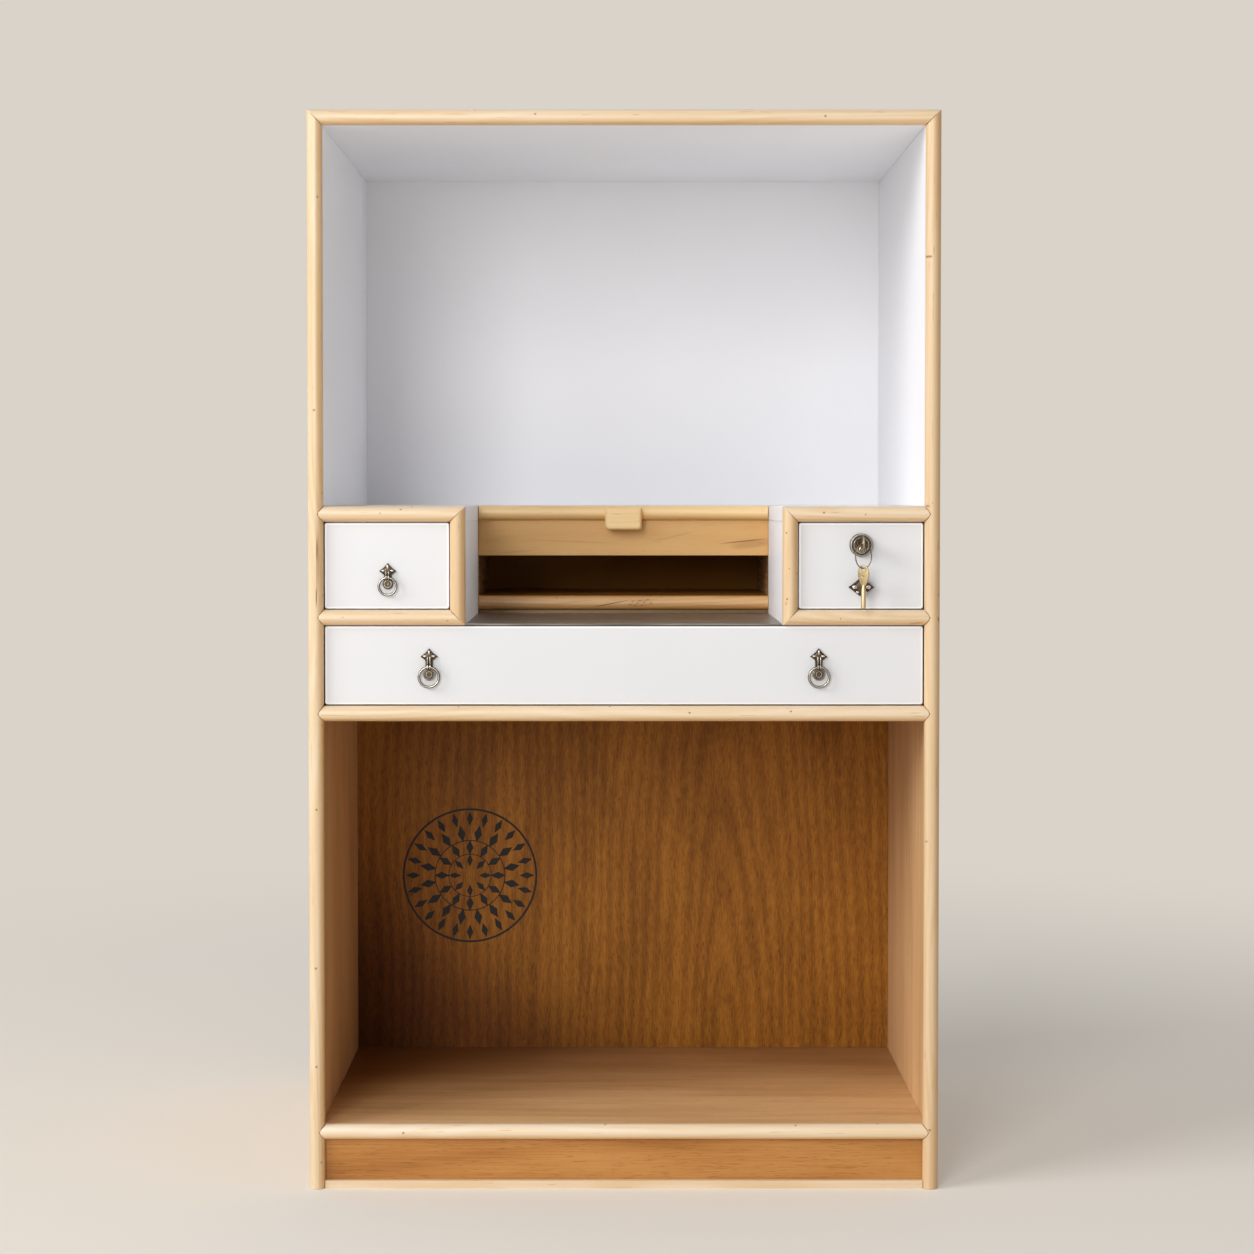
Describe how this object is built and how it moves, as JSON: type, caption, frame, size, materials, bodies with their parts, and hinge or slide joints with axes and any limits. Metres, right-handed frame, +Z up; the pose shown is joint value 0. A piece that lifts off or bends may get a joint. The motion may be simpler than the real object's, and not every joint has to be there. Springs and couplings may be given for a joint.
{
  "type": "three-drawer display table",
  "caption": "Tall wooden display table with an open alcove, a belt of small and wide drawers around a steel-plated notch, a pull-out board and an open lower compartment.",
  "frame": {"origin": "on the floor, under the middle of the whole outline, the hanging keys included", "axes": "+Z up, +Y towards the back and +X to the right as seen from the front, so the drawers open along -Y"},
  "size_m": [0.69, 0.5225, 1.18],
  "materials": {
    "white_lacquer": "white satin lacquer on board",
    "pine": "solid pale pine, satin varnish",
    "brown_veneer": "brown-stained veneer, satin",
    "oak_veneer": "golden-brown veneer, satin",
    "plywood": "plain unfinished plywood",
    "satin_steel": "brushed stainless steel",
    "antique_nickel": "aged nickel plate on cast metal, bright on the high spots",
    "pale_brass": "pale polished brass"
  },
  "bodies": {
    "cabinet": {"side_panel_left": "brown_veneer", "side_panel_right": "brown_veneer", "top_panel": "brown_veneer", "floor_board": "brown_veneer", "drawer_bay_floor": "brown_veneer", "sub_deck": "plywood", "lower_back": "brown_veneer", "drawer_bay_back": "plywood", "plinth_front": "oak_veneer", "plinth_back": "brown_veneer", "plinth_strip": "pine", "alcove_lining_left": "white_lacquer", "alcove_lining_right": "white_lacquer", "alcove_lining_top": "white_lacquer", "alcove_back": "white_lacquer", "deck": "white_lacquer", "divider_left": "white_lacquer", "divider_right": "white_lacquer", "small_drawer_floor_left": "white_lacquer", "small_drawer_floor_right": "white_lacquer", "notch_plate": "satin_steel", "pigeonhole_floor": "oak_veneer", "fascia": "oak_veneer", "post_trim_left": "pine", "post_trim_right": "pine", "trim_top": "pine", "trim_deck_left": "pine", "trim_deck_right": "pine", "trim_notch_left": "pine", "trim_notch_right": "pine", "trim_small_floor_left": "pine", "trim_small_floor_right": "pine", "trim_pigeonhole": "pine", "trim_bay_floor": "pine", "trim_floor": "pine"},
    "slide_board_set": {"slide_board": "white_lacquer", "slide_trim": "pine", "slide_tab": "pine"},
    "left_drawer": {"left_drawer_front": "white_lacquer", "left_drawer_box": "plywood", "left_drawer_bottom": "plywood", "small_pull": "antique_nickel"},
    "small_ring": {"small_pull_ring": "antique_nickel"},
    "right_drawer": {"right_drawer_front": "white_lacquer", "right_drawer_box": "plywood", "right_drawer_bottom": "plywood", "lock_housing": "antique_nickel", "lozenge_knob": "antique_nickel"},
    "lock_bolt": {"lock_bolt": "satin_steel"},
    "key": {"key_in_lock": "pale_brass"},
    "key_loop": {"key_loop": "antique_nickel"},
    "spare_key": {"spare_key": "pale_brass"},
    "wide_drawer": {"wide_drawer_front": "white_lacquer", "wide_drawer_box": "plywood", "wide_drawer_bottom": "plywood", "wide_pull_left": "antique_nickel", "wide_pull_right": "antique_nickel"},
    "wide_ring_left": {"wide_pull_left_ring": "antique_nickel"},
    "wide_ring_right": {"wide_pull_right_ring": "antique_nickel"}
  },
  "joints": [
    {"name": "left_drawer_slide", "type": "slide", "parent": "cabinet", "child": "left_drawer", "axis": [0, -1, 0], "range_m": [0, 0.3]},
    {"name": "right_drawer_slide", "type": "slide", "parent": "cabinet", "child": "right_drawer", "axis": [0, -1, 0], "range_m": [0, 0.3]},
    {"name": "wide_drawer_slide", "type": "slide", "parent": "cabinet", "child": "wide_drawer", "axis": [0, -1, 0], "range_m": [0, 0.3]},
    {"name": "board_slide", "type": "slide", "parent": "cabinet", "child": "slide_board_set", "axis": [0, -1, 0], "range_m": [0, 0.13]},
    {"name": "small_ring_swing", "type": "hinge", "parent": "left_drawer", "child": "small_ring", "pos_m": [-0.258, -0.23395, 0.6715], "axis": [-1, 0, 0], "range_deg": [0, 100]},
    {"name": "wide_ring_left_swing", "type": "hinge", "parent": "wide_drawer", "child": "wide_ring_left", "pos_m": [-0.213, -0.23395, 0.5738], "axis": [-1, 0, 0], "range_deg": [0, 100]},
    {"name": "wide_ring_right_swing", "type": "hinge", "parent": "wide_drawer", "child": "wide_ring_right", "pos_m": [0.213, -0.23395, 0.5738], "axis": [-1, 0, 0], "range_deg": [0, 100]},
    {"name": "key_turn", "type": "hinge", "parent": "right_drawer", "child": "key", "pos_m": [0.259, -0.22835, 0.7097], "axis": [0, 1, 0], "range_deg": [0, 90]},
    {"name": "bolt_slide", "type": "slide", "parent": "right_drawer", "child": "lock_bolt", "axis": [0, 0, 1], "range_m": [0, 0.006]},
    {"name": "loop_swing", "type": "hinge", "parent": "key", "child": "key_loop", "pos_m": [0.259, -0.25605, 0.7097], "axis": [-1, 0, 0], "range_deg": [-6, 60]},
    {"name": "spare_key_swing", "type": "hinge", "parent": "key_loop", "child": "spare_key", "pos_m": [0.259, -0.25605, 0.68185], "axis": [-1, 0, 0], "range_deg": [-6, 60]}
  ],
  "couplings": [
    {"joint": "bolt_slide", "follows": "key_turn", "m_per_rad": 0.0038197}
  ]
}
